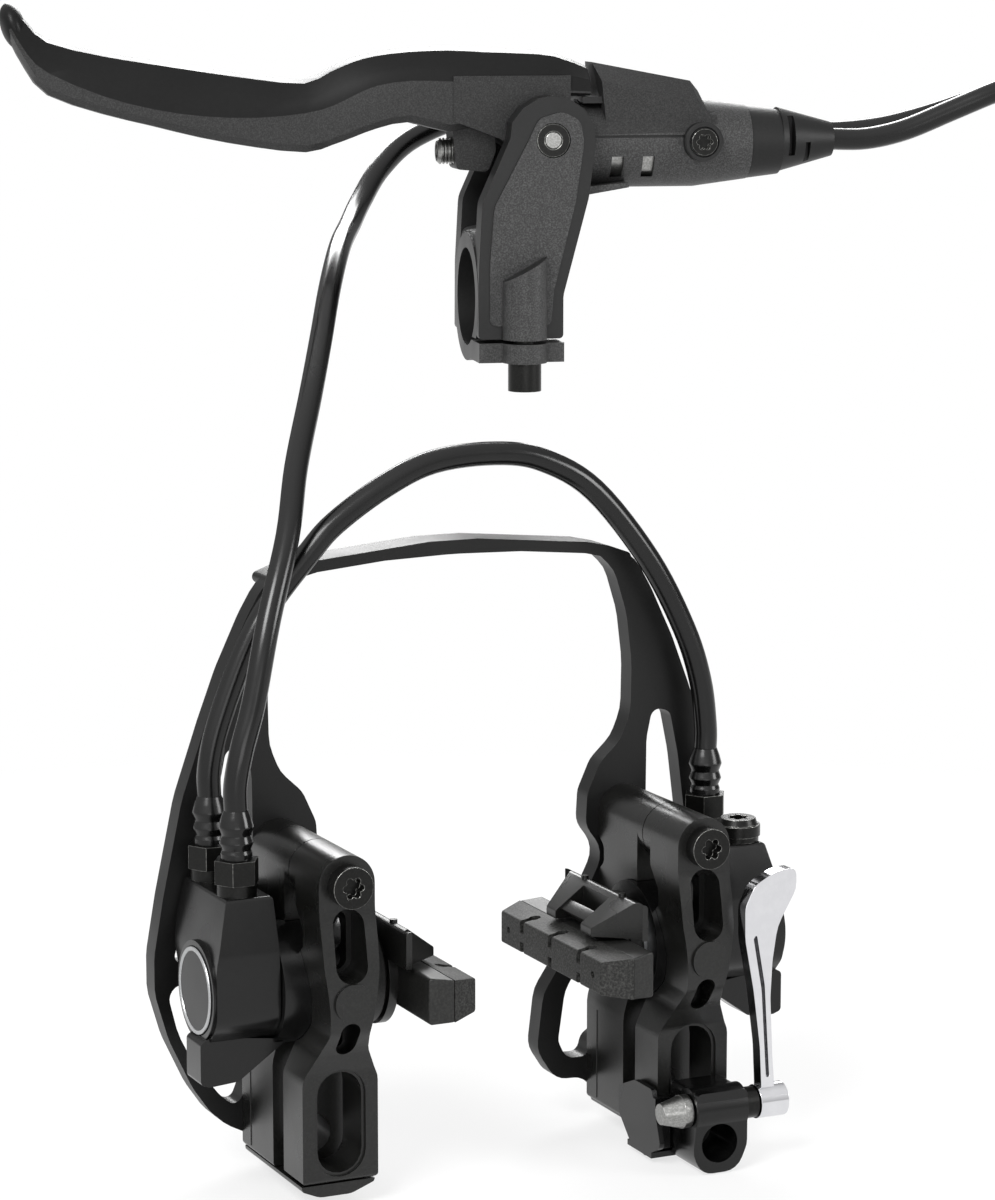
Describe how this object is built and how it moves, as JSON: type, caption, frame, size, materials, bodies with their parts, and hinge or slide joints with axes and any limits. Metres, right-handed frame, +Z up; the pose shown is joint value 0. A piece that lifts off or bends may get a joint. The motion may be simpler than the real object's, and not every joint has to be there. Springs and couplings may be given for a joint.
{
  "type": "hydraulic rim brake",
  "caption": "Hydraulic rim brake with a bar lever, hose-linked wheel cylinders in clamp adapters, an arched booster and a quick release.",
  "frame": {"origin": "midway between the axes of the two brake boss bores", "axes": "+Z up along the clamp arms, +X from the left wheel cylinder to the right one, +Y from the front clamp halves to the booster; the boss bores run along Y"},
  "size_m": [0.2615, 0.1533, 0.2395],
  "materials": {
    "grained_plastic": "grained",
    "arm_plastic": "moulded satin",
    "arch_plastic": "moulded matte",
    "smooth_plastic": "moulded semi-gloss",
    "pad_plastic": "moulded",
    "badge_disc": "gloss with a pale ring",
    "black_steel": "black oxide",
    "bright_steel": "machined",
    "turned_aluminium": "turned",
    "chrome_plate": "polished",
    "hose_jacket": "gloss",
    "boot_rubber": "satin",
    "black_rubber": "matte",
    "pad_rubber": "matte"
  },
  "bodies": {
    "root": {"lever_housing": "grained_plastic", "pivot_pin": "bright_steel", "front_bush": "black_steel", "rear_bush": "black_steel", "clamp_bolt": "black_steel", "master_tube": "bright_steel", "return_spring": "bright_steel", "bleed_screw": "black_steel", "hose_nut": "bright_steel", "hose_boot": "boot_rubber", "main_hose": "hose_jacket", "crossover_hose": "hose_jacket", "booster": "arch_plastic", "left_outlet_fitting": "black_steel", "left_outlet_sleeve": "hose_jacket", "right_bleed_plug": "black_steel", "qr_block": "smooth_plastic", "qr_clip": "smooth_plastic", "qr_washer": "black_steel", "left_cylinder": "smooth_plastic", "left_piston_seal": "black_rubber", "left_front_clamp": "arm_plastic", "left_rear_clamp": "arm_plastic", "left_clamp_bolt": "black_steel", "left_clamp_nut": "black_steel", "left_badge": "badge_disc", "left_inlet_fitting": "black_steel", "left_inlet_sleeve": "hose_jacket", "right_cylinder": "smooth_plastic", "right_piston_seal": "black_rubber", "right_front_clamp": "arm_plastic", "right_rear_clamp": "arm_plastic", "right_clamp_bolt": "black_steel", "right_clamp_nut": "black_steel", "right_badge": "badge_disc", "right_inlet_fitting": "black_steel", "right_inlet_sleeve": "hose_jacket"},
    "lever_blade": {"lever_blade": "grained_plastic", "reach_screw": "bright_steel"},
    "master_piston": {"master_piston": "turned_aluminium", "master_seal": "black_rubber"},
    "left_pad": {"left_piston": "turned_aluminium", "left_pad_carrier": "arm_plastic", "left_pad_backing": "pad_plastic", "left_pad_rubber": "pad_rubber"},
    "right_pad": {"right_piston": "turned_aluminium", "right_pad_carrier": "arm_plastic", "right_pad_backing": "pad_plastic", "right_pad_rubber": "pad_rubber"},
    "qr_lever": {"qr_lever": "chrome_plate", "qr_shaft": "bright_steel"}
  },
  "joints": [
    {"name": "blade_pivot", "type": "hinge", "parent": "root", "child": "lever_blade", "pos_m": [0.05328, 0.08519, 0.1978], "axis": [-0.2419, -0.9703, 0], "range_deg": [0, 18], "stiffness_Nm_per_rad": 0.35, "springref_deg": -14.32},
    {"name": "master_slide", "type": "slide", "parent": "root", "child": "master_piston", "axis": [0.9703, -0.2419, 0], "range_m": [0, 0.00212], "deforming": ["return_spring"]},
    {"name": "left_pad_slide", "type": "slide", "parent": "root", "child": "left_pad", "axis": [1, 0, 0], "range_m": [0, 0.000961]},
    {"name": "right_pad_slide", "type": "slide", "parent": "root", "child": "right_pad", "axis": [-1, 0, 0], "range_m": [0, 0.000961]},
    {"name": "release_lever", "type": "hinge", "parent": "root", "child": "qr_lever", "pos_m": [0.04, -0.0256, 0.0016], "axis": [1, 0, 0], "range_deg": [0, 150]}
  ],
  "couplings": [
    {"joint": "master_slide", "follows": "blade_pivot", "m_per_rad": 0.0066},
    {"joint": "left_pad_slide", "follows": "blade_pivot", "m_per_rad": 0.0029},
    {"joint": "right_pad_slide", "follows": "blade_pivot", "m_per_rad": 0.0029}
  ]
}
